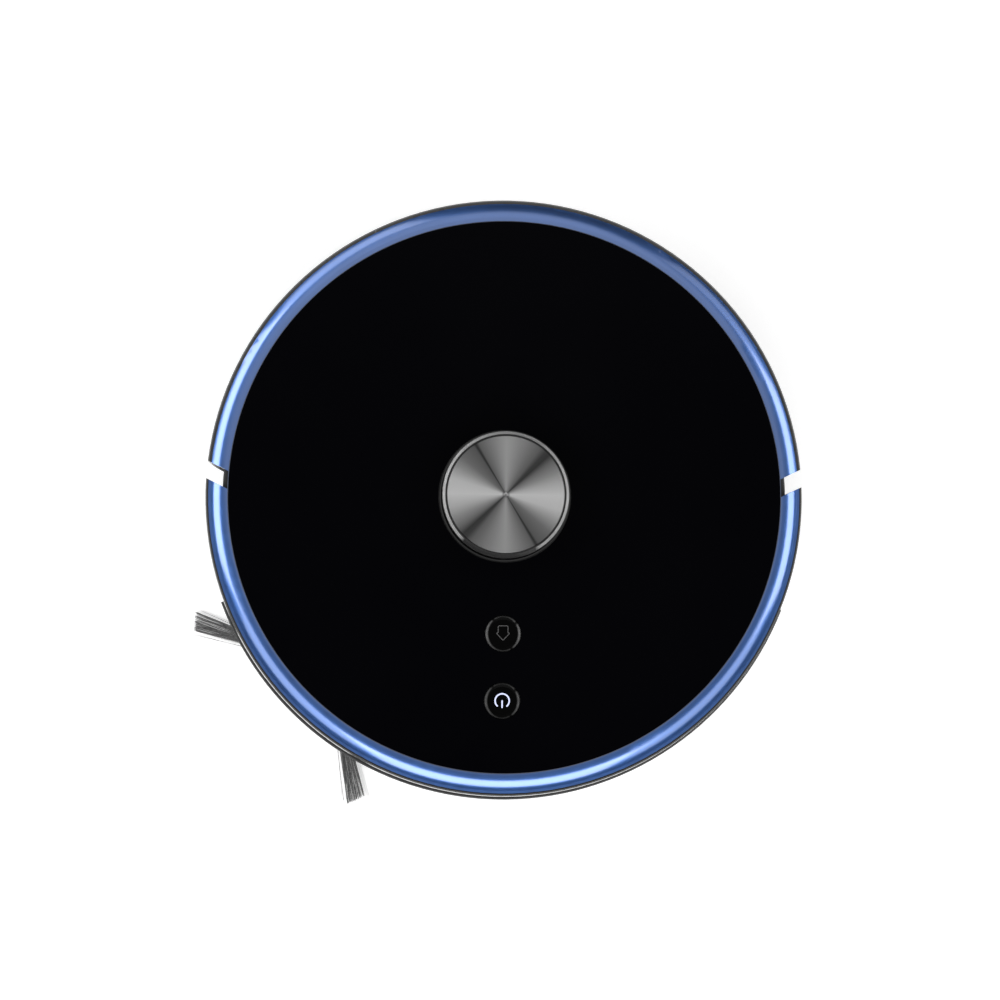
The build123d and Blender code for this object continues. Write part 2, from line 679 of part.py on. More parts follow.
def brush_guard():
    """Frame over the brush's mouth, on two hinge knuckles at its rear edge."""
    z0, z1 = BASE_Z - 2.4, BASE_Z - 0.2
    body = block((-94, 94), (BRUSH_Y - 25, BRUSH_Y + 27), (z0, z1))
    body = fillet(body.edges().filter_by(Axis.Z), 5)
    body = chamfer(body.edges().group_by(Axis.Z)[0], 0.8)
    body -= block((-81.5, 81.5), (BRUSH_Y - 17.7, BRUSH_Y + 17.7), (0, 20))
    for s in (-1, 1):
        body -= block(sorted((s * 86, s * 90.5)), (BRUSH_Y - 8, BRUSH_Y + 8), (z0 - 1, z0 + 1))
    body -= block((-82, 82), (BRUSH_Y + 20.2, BRUSH_Y + 22.2), (z0 - 1, z0 + 1.4))
    for x in (-66, 66):
        body += rod(1.1, x - 6, x + 6, BRUSH_Y + 27, BASE_Z - 1.3)
    return body


def brush_squeegee():
    return block((-81.8, 81.8), (BRUSH_Y + 20.3, BRUSH_Y + 22.1), (2.2, BASE_Z - 1.0))


def side_brush_motor():
    inner_x, inner_y = SIDE_X + 14, SIDE_Y + 14
    body = disc(10.0, BASE_Z + BASE_T + 0.1, 27, SIDE_X, SIDE_Y)
    body += disc(13.5, BASE_Z + BASE_T + 0.1, 27, inner_x, inner_y)
    body += disc(10.5, 26.5, 48, inner_x, inner_y)
    body += disc(2.5, 7.0, 16, SIDE_X, SIDE_Y)
    return body


def side_brush_hub():
    hub = turned(
        (2.5 + RUN, 6.4), (2.5 + RUN, 11.0), (9.0, 11.0), (11.5, 9.6), (11.5, 6.4), (9.0, 5.0), (0, 5.0),
        (0, 6.4),
    )
    for angle in ARM_ANGLES:
        arm = Pos(17.0, 0, 7.9) * Box(16, 6.4, 3.2)
        arm = fillet(arm.edges().filter_by(Axis.X), 1.2)
        tip = Pos(24.5, 0, 7.7) * Rot(0, 90, 0) * Cylinder(2.4, 5.0)
        hub += Rot(0, 0, angle) * (arm + tip)
    return Pos(SIDE_X, SIDE_Y, 0) * hub


def side_brush_tufts():
    """The space that each of the three bristle tufts fills, from its clamp down to the floor."""
    plan = prism([(27.1, -2.2), (27.1, 2.2), (TUFT_R - 2, 6.6), (TUFT_R, 0), (TUFT_R - 2, -6.6)], 0, 20)
    outline = [(27.1, 5.6), (27.1, 9.6), (52, 7.8), (TUFT_R, 3.4), (TUFT_R, 0.8), (52, 3.6)]
    profile = make_face(Plane.XZ * Polyline(*outline, close=True))
    tuft = plan & extrude(profile, 10, both=True)
    return [Pos(SIDE_X, SIDE_Y, 0) * Rot(0, 0, angle) * tuft for angle in ARM_ANGLES]


# ---- electrical parts ------------------------------------------------------------------------------------

def main_board():
    board = block((-74, 74), (-112, -60), (50.0, 51.6))
    board = fillet(board.edges().filter_by(Axis.Z), 4)
    parts = [board]
    chips = [(-40, -88, 14, 14, 1.6), (-8, -92, 10, 10, 1.4), (30, -86, 22, 16, 5.0), (58, -98, 12, 10, 9.0)]
    chips += [(x, -66.5, 9, 5, 6.0) for x in (-60, -44, -28, 28, 44, 60)]
    for x, y, w, d, h in chips:
        parts.append(block((x - w / 2, x + w / 2), (y - d / 2, y + d / 2), (51.65, 51.65 + h)))
    for x in (-62, 8, 14):
        parts.append(disc(2.6, 51.65, 59, x, -104))
    return parts


def battery_pack():
    pack = block(BATTERY_X, BATTERY_Y, (BASE_Z + 2.6, BASE_Z + 2.6 + BATTERY_H))
    return fillet(pack.edges().filter_by(Axis.Y), 5)


def battery_cover():
    x, y = BATTERY_X, BATTERY_Y
    body = block((x[0] - 0.6, x[1] + 0.6), (y[0] - 0.6, y[1] + 0.6), (BASE_Z, BASE_Z + 2.4))
    body = fillet(body.edges().filter_by(Axis.Z), 0.8)
    for k in range(5):
        body -= block((x[0] + 8, x[0] + 22), (y[0] + 20 + 5 * k, y[0] + 22 + 5 * k), (0, BASE_Z + 0.6))
    return body


def charging_contacts():
    pads = []
    y = (CONTACT_Y - 3.8, CONTACT_Y + 3.8)
    for x in (-CONTACT_X, CONTACT_X):
        pad = block((x - 10.8, x + 10.8), y, (BASE_Z - 0.8, BASE_Z + 2.4))
        pads.append(fillet(pad.edges().filter_by(Axis.Z), 1.5))
    return pads


def cliff_windows():
    lenses = []
    for x, y in CLIFFS:
        lens = block((x - 7.8, x + 7.8), (y - 3.8, y + 3.8), (BASE_Z + 0.4, BASE_Z + 2.4))
        lenses.append(fillet(lens.edges().filter_by(Axis.Z), 1.5))
    return lenses


def bump_switches():
    """Two microswitches, each just beyond the reach of a bumper pin at rest."""
    parts = []
    z0, z1 = PIN_Z
    plunger_y = (PIN_TIP_Y + BUMPER_TRAVEL + 0.3, SWITCH_Y + 0.2)
    for x in (-PIN_X, PIN_X):
        case = block((x - 4.5, x + 4.5), (SWITCH_Y, SWITCH_Y + 8), (z0, z1))
        plunger = block((x - 1.2, x + 1.2), plunger_y, (z0 + 3.8, z1 - 3.8))
        parts.append(case + plunger)
    return parts


def fan_housing():
    """Volute with its suction duct from the dustbin's filter, and the fan motor's can."""
    shell = disc(FAN_R, 18, 44, FAN_X, FAN_Y) + block((75.4, 104), (84, 104), (20, 42))
    shell -= disc(FAN_R - 2, 20, 42, FAN_X, FAN_Y) + block((70, 102), (86, 102), (22, 40))
    return shell + disc(13, 43.5, 60, FAN_X, FAN_Y) - disc(2.0 + RUN, 40, 60, FAN_X, FAN_Y)


def fan_impeller():
    body = disc(21.0, 24, 26, FAN_X, FAN_Y)
    body += disc(5.0, 24, 40, FAN_X, FAN_Y)
    body += disc(2.0, 38, 54, FAN_X, FAN_Y)
    for k in range(9):
        blade = Pos(13.2, 0, 30) * Rot(0, 0, 32) * Box(17.0, 1.2, 10)
        body += Pos(FAN_X, FAN_Y, 0) * Rot(0, 0, 40 * k) * blade
    return body


def charging_socket():
    """Barrel-jack socket in the side wall: its bore is open outwards."""
    shell = Rot(0, 90, 0) * Cylinder(5.1, 16) - Pos(3, 0, 0) * Rot(0, 90, 0) * Cylinder(JACK_R, 14)
    flange = Pos(-8.5, 0, 0) * Box(3, 14, 14)
    return at_angle(shell + flange, JACK_ANGLE, JACK_RADIUS, SIDE_PORT_Z)


def rocker_switch():
    """Paddle of the power switch, tilted on its pivot so that one end stands out."""
    paddle = Cylinder(6.6, 7.6) - Pos(-8.2, 0, 0) * Box(14, 30, 10)
    paddle &= Box(30, 11.0, 8)
    paddle = Rot(0, 0, ROCKER_TILT) * (paddle + Cylinder(1.5, 12.4))
    return at_angle(paddle, SWITCH_ANGLE, ROCKER_RADIUS, SIDE_PORT_Z)


def chassis_screws():
    screws = []
    for x, y in screw_positions():
        tip = 27 if (x, y) in BOSSES else BASE_Z + 2.5
        screw = disc(2.9, BASE_Z + 0.2, BASE_Z + 1.9, x, y) + disc(1.25, BASE_Z + 1.8, tip, x, y)
        for turn in (0, 90):
            screw -= Pos(x, y, BASE_Z + 0.6) * Rot(0, 0, turn) * Box(3.4, 0.7, 1.0)
        screws.append(screw)
    return screws


# ---- dustbin ---------------------------------------------------------------------------------------------

def dustbin_tub():
    z0, z1 = BIN_Z
    back = REAR_R - WALL - 0.2
    body = block((-BIN_HALF, BIN_HALF), (BIN_Y, 190), (z0, z1)) & disc(back, 0, 100)
    inside = block((-BIN_HALF + 1.8, BIN_HALF - 1.8), (BIN_Y + 1.8, 190), (z0 + 1.8, 100))
    body -= inside & disc(back - 1.8, 0, 100)
    body -= block((-46, 46), (BIN_Y - 5, BIN_Y + 5), (29, 42))
    body -= block((BIN_HALF - 5, BIN_HALF + 5), (88, 100), (24, 38))
    body += block((-19, 19), (165.5, 190), (44, 60)) & disc(back, 0, 100)
    body -= block((-17.2, 17.2), (167.3, 190), (45.8, 58.2))
    return body


def dustbin_lid():
    z1 = BIN_Z[1]
    back = REAR_R - WALL - 0.2
    lid = block((-BIN_HALF, BIN_HALF), (BIN_Y, 190), (z1 + 0.1, z1 + 2.4)) & disc(back, 0, 100)
    grip = block((-20, 20), (BIN_Y + 12, BIN_Y + 15), (z1 + 2.2, z1 + 4.4))
    return lid + grip


def dustbin_face():
    z0, z1 = FACE_Z
    ring = disc(REAR_R, z0, z1) - disc(REAR_R - WALL - 0.1, 0, 100)
    body = ring & block((-FACE_HALF, FACE_HALF), (100, 190), (0, 100))
    body &= turned((150, 0), (174.1, 0), (174.1, 24), (REAR_R, 30), (REAR_R, 100), (150, 100))
    body -= block((-17, 17), (150, 190), (46, 58))
    return body


def dustbin_button():
    body = disc(REAR_R - 0.2, 46.3, 57.7) - disc(REAR_R - 2.2, 0, 100)
    return body & block((-16.7, 16.7), (150, 190), (0, 100))


def dustbin_filter():
    """Pleated filter in its frame, against the bin's side wall where the fan draws."""
    frame = block((BIN_HALF - 13, BIN_HALF - 2.0), (86, 130), (22.4, 58.6))
    frame -= block((BIN_HALF - 20, BIN_HALF - 3.4), (88.5, 127.5), (24.8, 56.2))
    pleats = []
    for k in range(12):
        y = 89.5 + 3.2 * k
        pleats.append(block((BIN_HALF - 12, BIN_HALF - 3.5), (y, y + 1.6), (24.9, 56.1)))
    return [frame, *pleats]


# ---- build -----------------------------------------------------------------------------------------------

def build_parts():
    parts = {
        "chassis": chassis(),
        "top_cover": top_cover(),
        "glass_panel": glass_panel(),
        "rear_shell": rear_shell(),
        "rear_trim": rear_trim(),
        "bumper_shell": bumper_shell(),
        "bumper_trim": bumper_trim(),
        "bumper_window": bumper_window(),
        "bumper_strip": bumper_strip(),
        "turret_collar": turret_collar(),
        "turret_cap": turret_cap(),
        "turret_disc": turret_disc(),
        "lidar_base": lidar_base(),
        "lidar_head": lidar_head(),
        "lidar_lenses": lidar_lenses(),
        "lidar_motor": lidar_motor(),
        "lidar_pulley": lidar_pulley(),
        "lidar_belt": lidar_belt(),
        "home_button": button(HOME_Y),
        "power_button": button(POWER_Y),
        "button_board": button_board(),
        "castor_socket": castor_socket(),
        "castor_fork": castor_fork(),
        "castor_wheel": castor_wheel(),
        "brush_housing": brush_housing(),
        "main_brush_core": main_brush_core(),
        "main_brush_bristles": main_brush_bristles(),
        "brush_motor": brush_motor(),
        "brush_guard": brush_guard(),
        "brush_squeegee": brush_squeegee(),
        "side_brush_motor": side_brush_motor(),
        "side_brush_hub": side_brush_hub(),
        "side_brush_tufts": side_brush_tufts(),
        "main_board": main_board(),
        "battery_pack": battery_pack(),
        "battery_cover": battery_cover(),
        "charging_contacts": charging_contacts(),
        "cliff_windows": cliff_windows(),
        "bump_switches": bump_switches(),
        "fan_housing": fan_housing(),
        "fan_impeller": fan_impeller(),
        "charging_socket": charging_socket(),
        "rocker_switch": rocker_switch(),
        "chassis_screws": chassis_screws(),
        "dustbin_tub": dustbin_tub(),
        "dustbin_lid": dustbin_lid(),
        "dustbin_face": dustbin_face(),
        "dustbin_button": dustbin_button(),
        "dustbin_filter": dustbin_filter(),
    }
    pairs = {
        "drive_arm": drive_arm(),
        "drive_motor": drive_motor(),
        "wheel_hub": wheel_hub(),
        "tyre": tyre(),
        "suspension_spring": suspension_spring(),
    }
    for name, shape in pairs.items():
        parts[name + "_right"] = shape
        parts[name + "_left"] = mirrored(shape)
    hood = wheel_housing()
    parts["wheel_housings"] = [hood, mirrored(hood)]
    return parts


def save(parts):
    os.makedirs("parts", exist_ok=True)
    for name, shape in parts.items():
        pieces = shape if isinstance(shape, list) else [shape]
        solids = [solid for piece in pieces for solid in piece.solids()]
        whole = Compound(children=solids) if len(solids) > 1 else solids[0]
        export_step(whole, f"parts/{name}.step")
    print(len(parts), "nodes")


save(build_parts())
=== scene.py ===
# Looks of the robot vacuum: camera, studio, materials and fine pieces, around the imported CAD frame.
# Metres, in the frame's own axes: +Z up, the floor at z = 0, and the bumper towards -Y.

import json
import math
import random

import bpy
from mathutils import Matrix, Vector


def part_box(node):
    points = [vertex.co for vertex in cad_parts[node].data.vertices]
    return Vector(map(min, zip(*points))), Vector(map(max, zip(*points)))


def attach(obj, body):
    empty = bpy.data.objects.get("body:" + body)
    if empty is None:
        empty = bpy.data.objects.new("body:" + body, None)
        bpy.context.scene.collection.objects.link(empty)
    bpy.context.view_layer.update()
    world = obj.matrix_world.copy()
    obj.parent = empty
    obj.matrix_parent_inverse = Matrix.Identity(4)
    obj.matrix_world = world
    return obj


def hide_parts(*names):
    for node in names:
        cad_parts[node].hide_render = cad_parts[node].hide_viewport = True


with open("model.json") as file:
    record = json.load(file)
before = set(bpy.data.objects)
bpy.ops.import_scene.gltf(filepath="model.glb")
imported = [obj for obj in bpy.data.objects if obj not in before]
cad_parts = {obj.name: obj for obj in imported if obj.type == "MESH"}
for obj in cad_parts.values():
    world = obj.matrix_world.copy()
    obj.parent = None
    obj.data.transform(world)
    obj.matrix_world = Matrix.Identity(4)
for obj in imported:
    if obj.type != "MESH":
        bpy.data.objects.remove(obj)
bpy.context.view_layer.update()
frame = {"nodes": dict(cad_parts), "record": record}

MM = 0.001
SLOT_OF = {part["node"]: part["material_slot"] for part in frame["record"]["subparts"]}


# ---- camera and studio -----------------------------------------------------------------------------------

CAMERA_TILT = 3.51  # degrees off straight down
CAMERA_AZIMUTH = 240.37  # degrees from +X, of the side that it leans to
CAMERA_ROLL = 0.770  # degrees
CAMERA_DISTANCE = 1.8
CAMERA_TARGET = Vector((-0.00234, -0.00139, 0.060))
CAMERA_LENS = 110.24  # millimetres


def make_camera():
    tilt, azimuth, roll = map(math.radians, (CAMERA_TILT, CAMERA_AZIMUTH, CAMERA_ROLL))
    flat = math.sin(tilt)
    back = Vector((flat * math.cos(azimuth), flat * math.sin(azimuth), math.cos(tilt)))
    right = (-back).cross(Vector((0, 1, 0))).normalized()
    up = right.cross(-back)
    rolled_right = right * math.cos(roll) + up * math.sin(roll)
    rolled_up = up * math.cos(roll) - right * math.sin(roll)
    data = bpy.data.cameras.new("camera")
    data.lens = CAMERA_LENS
    data.clip_start = 0.01
    data.clip_end = 60
    camera = bpy.data.objects.new("camera", data)
    place = Matrix((rolled_right, rolled_up, back)).transposed().to_4x4()
    place.translation = CAMERA_TARGET + back * CAMERA_DISTANCE
    camera.matrix_world = place
    bpy.context.scene.collection.objects.link(camera)
    bpy.context.scene.camera = camera


LIGHT_DISTANCE = 1.5
LIGHT_HEIGHT = 0.80  # of the softbox itself
LIGHT_RADIANCE = 3.2  # at full strength
SOFTBOXES = [  # azimuth and elevation in degrees, width in metres, share of the full strength
    (5, 34, 1.10, 0.85),
    (318, 42, 0.85, 0.34),
    (270, 42, 1.20, 0.95),
    (222, 42, 0.85, 0.42),
    (168, 36, 1.25, 1.0),
    (122, 34, 0.75, 0.40),
    (42, 36, 0.60, 0.2),
]


def make_softboxes():
    for azimuth, elevation, width, share in SOFTBOXES:
        turn, elevation = math.radians(azimuth), math.radians(elevation)
        flat = math.cos(elevation)
        away = Vector((flat * math.cos(turn), flat * math.sin(turn), math.sin(elevation)))
        data = bpy.data.lights.new("softbox", "AREA")
        data.shape = "RECTANGLE"
        data.size = width
        data.size_y = LIGHT_HEIGHT
        data.energy = LIGHT_RADIANCE * share * math.pi * width * LIGHT_HEIGHT
        light = bpy.data.objects.new("softbox", data)
        light.location = away * LIGHT_DISTANCE
        light.rotation_euler = away.to_track_quat("Z", "Y").to_euler()
        light.visible_camera = False
        bpy.context.scene.collection.objects.link(light)


WORLD_LOW = 0.05  # strength near the horizon
WORLD_HIGH = 0.14  # strength overhead
WORLD_RISE = (0.3, 0.95)  # heights between which it goes from low to high
CEILING_GLOW = 0.55
CEILING_TOWARDS = (0.0, 0.34, 0.94)
CEILING_EDGE = (0.90, 0.985)  # cosines of the angles between which the glow sets in


def make_world():
    """Dim grey room with a soft glow in its ceiling, a little behind the robot."""
    world = bpy.data.worlds.new("room")
    bpy.context.scene.world = world
    world.use_nodes = True
    tree = world.node_tree
    coordinates = tree.nodes.new("ShaderNodeTexCoord")
    split = tree.nodes.new("ShaderNodeSeparateXYZ")
    facing = tree.nodes.new("ShaderNodeVectorMath")
    facing.operation = "DOT_PRODUCT"
    facing.inputs[1].default_value = CEILING_TOWARDS
    height = tree.nodes.new("ShaderNodeMapRange")
    glow = tree.nodes.new("ShaderNodeMapRange")
    ranges = (
        (height, (*WORLD_RISE, WORLD_LOW, WORLD_HIGH)),
        (glow, (*CEILING_EDGE, 0.0, CEILING_GLOW)),
    )
    for node, limits in ranges:
        for socket, value in zip(("From Min", "From Max", "To Min", "To Max"), limits):
            node.inputs[socket].default_value = value
    both = tree.nodes.new("ShaderNodeMath")
    both.operation = "ADD"
    background = tree.nodes["Background"]
    background.inputs["Color"].default_value = (1.0, 1.0, 1.0, 1.0)
    tree.links.new(coordinates.outputs["Generated"], split.inputs[0])
    tree.links.new(coordinates.outputs["Generated"], facing.inputs[0])
    tree.links.new(split.outputs["Z"], height.inputs["Value"])
    tree.links.new(facing.outputs["Value"], glow.inputs["Value"])
    tree.links.new(height.outputs["Result"], both.inputs[0])
    tree.links.new(glow.outputs["Result"], both.inputs[1])
    tree.links.new(both.outputs[0], background.inputs["Strength"])


# ---- material helpers ------------------------------------------------------------------------------------

class Graph:
    """One material's node tree, with its shader's constants set from the keyword arguments."""

    def __init__(self, name, colour=None, rough=None, **fixed):
        self.material = bpy.data.materials.new(name)
        self.material.use_nodes = True
        self.tree = self.material.node_tree
        self.tree.nodes.clear()
        self.shader = self.node("BsdfPrincipled")
        self.output = self.node("OutputMaterial")
        self.tree.links.new(self.shader.outputs[0], self.output.inputs[0])
        if colour is not None:
            self.shader.inputs["Base Color"].default_value = colour
        if rough is not None:
            self.shader.inputs["Roughness"].default_value = rough
        for socket, value in fixed.items():
            self.shader.inputs[socket.replace("_", " ")].default_value = value

    def node(self, kind, sockets=None, **settings):
        made = self.tree.nodes.new("ShaderNode" + kind)
        for key, value in settings.items():
            setattr(made, key, value)
        for socket, value in (sockets or {}).items():
            self.feed(made.inputs[socket], value)
        return made

    def feed(self, socket, value):
        if isinstance(value, bpy.types.NodeSocket):
            self.tree.links.new(value, socket)
        else:
            socket.default_value = value

    def give(self, socket, value):
        self.feed(self.shader.inputs[socket], value)

    def place(self, scale=(1, 1, 1)):
        """Position on the object in metres, optionally stretched along an axis."""
        where = self.node("TexCoord").outputs["Object"]
        if scale == (1, 1, 1):
            return where
        return self.node("Mapping", {"Vector": where, "Scale": scale}).outputs[0]

    def noise(self, scale, detail=2.0, stretch=(1, 1, 1)):
        sockets = {"Vector": self.place(stretch), "Scale": scale, "Detail": detail}
        return self.node("TexNoise", sockets).outputs["Fac"]

    def cells(self, scale):
        return self.node("TexVoronoi", {"Vector": self.place(), "Scale": scale}).outputs["Distance"]

    def spread(self, value, low, high, start=0.3, end=0.7):
        """Maps start..end to low..high, and holds the value outside that. The defaults suit a noise."""
        sockets = {"Value": value, "From Min": start, "From Max": end, "To Min": low, "To Max": high}
        return self.node("MapRange", sockets).outputs["Result"]

    def mix(self, share, a, b):
        """Colour a where share is 0, and colour b where it is 1."""
        made = self.node("Mix", data_type="RGBA")
        factor, colour_a, colour_b, mixed = 0, 6, 7, 2  # the node's sockets for colours
        self.feed(made.inputs[factor], share)
        self.feed(made.inputs[colour_a], a)
        self.feed(made.inputs[colour_b], b)
        return made.outputs[mixed]

    def math(self, operation, a, b=0.0):
        made = self.node("Math", operation=operation)
        self.feed(made.inputs[0], a)
        self.feed(made.inputs[1], b)
        return made.outputs[0]

    def bump(self, height, strength, distance):
        sockets = {"Height": height, "Strength": strength, "Distance": distance}
        self.give("Normal", self.node("Bump", sockets).outputs[0])

    def split(self):
        """The x, y and z sockets of the position on the object."""
        return self.node("SeparateXYZ", {0: self.place()}).outputs

    def radius(self):
        """Distance from the object's vertical axis."""
        x, y, _ = self.split()
        flat = self.node("CombineXYZ", {0: x, 1: y}).outputs[0]
        return self.node("VectorMath", {0: flat}, operation="LENGTH").outputs["Value"]


def grey(value):
    return (value, value, value, 1.0)


def shade(colour, factor):
    return tuple(min(1.0, c * factor) for c in colour[:3]) + (1.0,)


def moulded(name, colour, rough, vary=0.12, grain=900.0, strength=0.12, distance=0.1 * MM):
    """Moulded plastic or rubber: cloudy colour, uneven gloss and a fine grain."""
    g = Graph(name)
    cloud = g.noise(45.0, 4.0)
    g.give("Base Color", g.mix(g.spread(cloud, 0.0, 1.0), shade(colour, 1 - vary), shade(colour, 1 + vary)))
    g.give("Roughness", g.spread(g.noise(130.0, 3.0), rough * 0.86, min(1.0, rough * 1.14)))
    g.bump(g.noise(grain, 3.0), strength, distance)
    return g.material


# ---- materials -------------------------------------------------------------------------------------------

GLASS_EDGE_R = 161 * MM
CAP_BEVEL_R = 35 * MM
CAP_BEVEL_Z = 93.2 * MM
BUTTON_RIM_R = 9.75 * MM


def black_glass():
    """Back-painted tempered glass. Its ground rim is rougher, and its paler bluish colour there is a painted
    highlight.
    """
    g = Graph("black_glass", IOR=1.5, Specular_IOR_Level=0.02)
    ground_edge_and_highlight = g.spread(g.radius(), 0.0, 1.0, GLASS_EDGE_R - 0.05 * MM, GLASS_EDGE_R + 0.1 * MM)
    paint, cloudy_paint = (0.0006, 0.0006, 0.0012, 1), (0.001, 0.001, 0.0016, 1)
    top = g.mix(g.spread(g.noise(9.0), 0.0, 1.0), paint, cloudy_paint)
    # pale bluish colour on the rim: a painted highlight; the roughness added there below is the ground
    # finish
    g.give("Base Color", g.mix(ground_edge_and_highlight, top, (0.075, 0.09, 0.13, 1)))
    smudge = g.spread(g.noise(22.0, 5.0), 0.035, 0.075)
    g.give("Roughness", g.math("ADD", smudge, g.math("MULTIPLY", ground_edge_and_highlight, 0.35)))
    return g.material


def trim_blue():
    """Blue metallic lacquer under a clear coat."""
    g = Graph("trim_blue", Metallic=0.95, Coat_Weight=1.0, Coat_Roughness=0.16, Coat_IOR=2.3)
    flake = g.cells(3800.0)
    tint = g.mix(g.spread(g.noise(30.0, 3.0), 0, 1), (0.043, 0.172, 0.56, 1), (0.053, 0.195, 0.62, 1))
    g.give("Base Color", g.mix(g.spread(flake, 0.0, 0.35, 0.1, 0.9), tint, (0.08, 0.20, 0.64, 1)))
    g.give("Roughness", g.spread(g.noise(160.0, 3.0), 0.28, 0.34))
    g.bump(flake, 0.05, 0.03 * MM)
    return g.material


def turned_metal():
    """Turned disc: circular tool marks, and a painted reflection in its colour, broad bright wedge shapes
    that fade into dark lines, with painted shade at the centre.
    """
    g = Graph("turned_metal", Metallic=1.0, Anisotropic=0.82)
    x, y, _ = g.split()
    turn = g.math("ARCTAN2", y, x)
    share = g.math("FRACT", g.math("ADD", g.math("DIVIDE", turn, math.pi), 1.0))
    # painted reflection: the grey changes with the angle round the disc
    ramp = g.node("ValToRGB", {0: share})
    stops = [  # degrees round half of the disc, and the grey of the painted reflection there; the other half repeats them
        (0, 0.80), (14, 0.58), (24, 0.38), (36, 0.21), (43, 0.055), (48, 0.07), (54, 0.17), (74, 0.31),
        (90, 0.43), (104, 0.31), (119, 0.19), (121.3, 0.05), (122.3, 0.05), (124.5, 0.16), (140, 0.26),
        (150, 0.44), (164, 0.74), (180, 0.80),
    ]
    elements = ramp.color_ramp.elements
    for index, (angle, value) in enumerate(stops):
        spot = elements[index] if index < 2 else elements.new(1.0)
        spot.position = angle / 180
        spot.color = grey(value)
    marks = g.node("TexWave", {"Vector": g.place(), "Scale": 620.0, "Distortion": 0.0}, wave_type="RINGS")
    marks.rings_direction = "Z"
    fine = g.noise(5200.0, 2.0)
    # darker grey within 2.6 mm of the centre: painted shade in the dimple
    painted_reflection_and_centre_shade = g.mix(g.spread(g.radius(), 0.0, 1.0, 0.8 * MM, 2.6 * MM), grey(0.16), ramp.outputs[0])
    g.give("Base Color", g.mix(g.spread(marks.outputs["Fac"], 0.0, 0.10, 0, 1), painted_reflection_and_centre_shade, grey(0.25)))
    g.give("Roughness", g.spread(fine, 0.34, 0.42))
    g.give("Tangent", g.node("Tangent", direction_type="RADIAL", axis="Z").outputs[0])
    g.bump(marks.outputs["Fac"], 0.06, 0.03 * MM)
    return g.material


def button_plastic(name, centre_y, rim_highlight_grey):
    """Black button with a painted highlight on its rim: two pale crescents, with three short breaks."""
    g = Graph(name, Specular_IOR_Level=0.04)
    x, y, _ = g.split()
    y = g.math("SUBTRACT", y, centre_y)
    radius = g.math("SQRT", g.math("ADD", g.math("MULTIPLY", x, x), g.math("MULTIPLY", y, y)))
    sideways = g.math("DIVIDE", x, g.math("MAXIMUM", radius, 1e-5))
    sideways = g.math("MULTIPLY", sideways, sideways)
    inner = g.math("ADD", BUTTON_RIM_R, g.math("MULTIPLY", sideways, -0.95 * MM))
    # mask of the painted rim highlight, wider at the sides
    rim = g.spread(g.math("SUBTRACT", radius, inner), 0, 1, -0.3 * MM, 0.5 * MM)
    rim = g.math("MULTIPLY", rim, g.spread(sideways, 0.35, 1.0, 0, 1))
    turn = g.math("ARCTAN2", y, x)
    for angle in (125, 40, -60):  # degrees, of the breaks
        apart = g.math("ABSOLUTE", g.math("SUBTRACT", turn, math.radians(angle)))
        rim = g.math("MULTIPLY", rim, g.spread(apart, 0.1, 1, 0.04, 0.14))
    cloud = g.spread(g.noise(500.0, 3.0), 0.7, 1.0)
    rim = g.math("MULTIPLY", rim, cloud)
    g.give("Base Color", g.mix(rim, grey(0.0012), grey(rim_highlight_grey)))
    g.give("Roughness", g.spread(g.noise(140.0, 3.0), 0.22, 0.3))
    g.bump(g.noise(420.0, 1.0), 0.04, 0.05 * MM)
    return g.material


def cap_plastic():
    """Gloss plastic whose outer chamfer carries a painted reflection: pale and metallic, but dark on the
    side towards the bumper.
    """
    g = Graph("cap_plastic", Coat_Weight=0.4, Coat_Roughness=0.04)
    x, y, z = g.split()
    outer = g.spread(g.radius(), 0, 1, CAP_BEVEL_R - 0.05 * MM, CAP_BEVEL_R + 0.1 * MM)
    # painted reflection on the outer chamfer, left out on the side towards the bumper
    bevel_reflection = g.math("MULTIPLY", outer, g.spread(z, 0, 1, CAP_BEVEL_Z, CAP_BEVEL_Z + 0.3 * MM))
    turn = g.math("ABSOLUTE", g.math("ADD", g.math("ARCTAN2", y, x), 1.68))
    bevel_reflection = g.math("MULTIPLY", bevel_reflection, g.spread(turn, 0, 1, 0.62, 0.74))
    cloud = g.spread(g.noise(60.0, 3.0), 0, 1)
    dark, bright = g.mix(cloud, grey(0.008), grey(0.012)), g.mix(cloud, grey(0.62), grey(0.72))
    g.give("Base Color", g.mix(bevel_reflection, dark, bright))
    g.give("Metallic", bevel_reflection)
    gloss = g.spread(g.noise(140.0, 3.0), 0.12, 0.2)
    g.give("Roughness", g.math("ADD", gloss, g.math("MULTIPLY", bevel_reflection, 0.34)))
    g.bump(g.noise(420.0, 1.0), 0.04, 0.05 * MM)
    return g.material


def gloss_black(name, colour, rough, coat=0.4, **fixed):
    """Gloss plastic with faint orange peel."""
    g = Graph(name, Coat_Weight=coat, Coat_Roughness=0.04, **fixed)
    g.give("Base Color", g.mix(g.spread(g.noise(40.0, 3.0), 0, 1), shade(colour, 0.8), shade(colour, 1.2)))
    g.give("Roughness", g.spread(g.noise(140.0, 3.0), rough * 0.8, rough * 1.2))
    g.bump(g.noise(420.0, 1.0), 0.04, 0.05 * MM)
    return g.material


def fibre(name, dark, light, rough):
    """Nylon fibre whose shade changes from strand to strand."""
    g = Graph(name, rough=rough)
    g.give("Base Color", g.mix(g.spread(g.noise(900.0), 0, 1, 0.35, 0.65), dark, light))
    g.bump(g.noise(4000.0), 0.15, 0.03 * MM)
    return g.material


def metal(name, colour, rough, streak=(1, 1, 1)):
    """Plain metal, cloudy or streaked along one axis."""
    g = Graph(name, Metallic=1.0)
    g.give("Base Color", g.mix(g.spread(g.noise(70.0, 4.0), 0, 1), shade(colour, 0.85), shade(colour, 1.08)))
    g.give("Roughness", g.spread(g.noise(700.0, 4.0, streak), rough * 0.8, rough * 1.25))
    g.bump(g.noise(1800.0, 2.0, streak), 0.08, 0.03 * MM)
    return g.material


